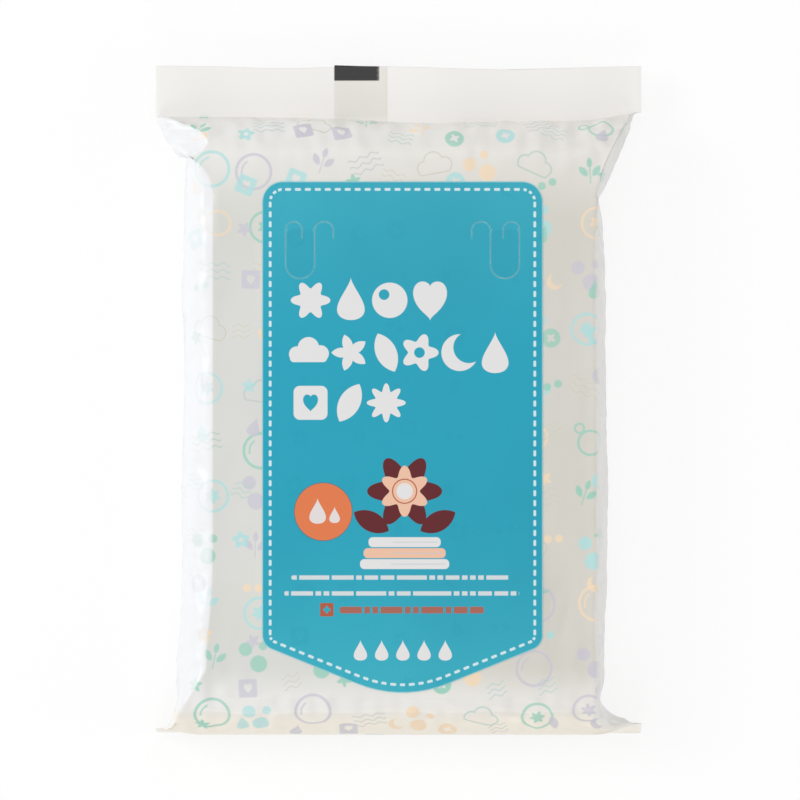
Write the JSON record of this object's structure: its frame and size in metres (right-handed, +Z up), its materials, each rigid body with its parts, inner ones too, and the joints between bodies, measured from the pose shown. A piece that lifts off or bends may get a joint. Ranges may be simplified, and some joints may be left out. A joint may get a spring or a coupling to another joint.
{
  "type": "wet wipes pack",
  "caption": "Soft film pouch of wet wipes with crimped end seals, a fin seal down the back and a resealable label on its front.",
  "frame": {"origin": "middle of the pack's footprint, on the surface it lies on", "axes": "+X across the pack to its right, +Y along the pack towards the top seal, +Z up, out of the front that carries the label"},
  "size_m": [0.138, 0.19, 0.0255],
  "materials": {
    "pouch_film": "satin printed film, milky white with a pale pattern",
    "label_film": "smooth satin printed film, teal"
  },
  "bodies": {
    "root": {"film_pouch": "pouch_film", "reseal_label": "label_film"}
  },
  "joints": []
}
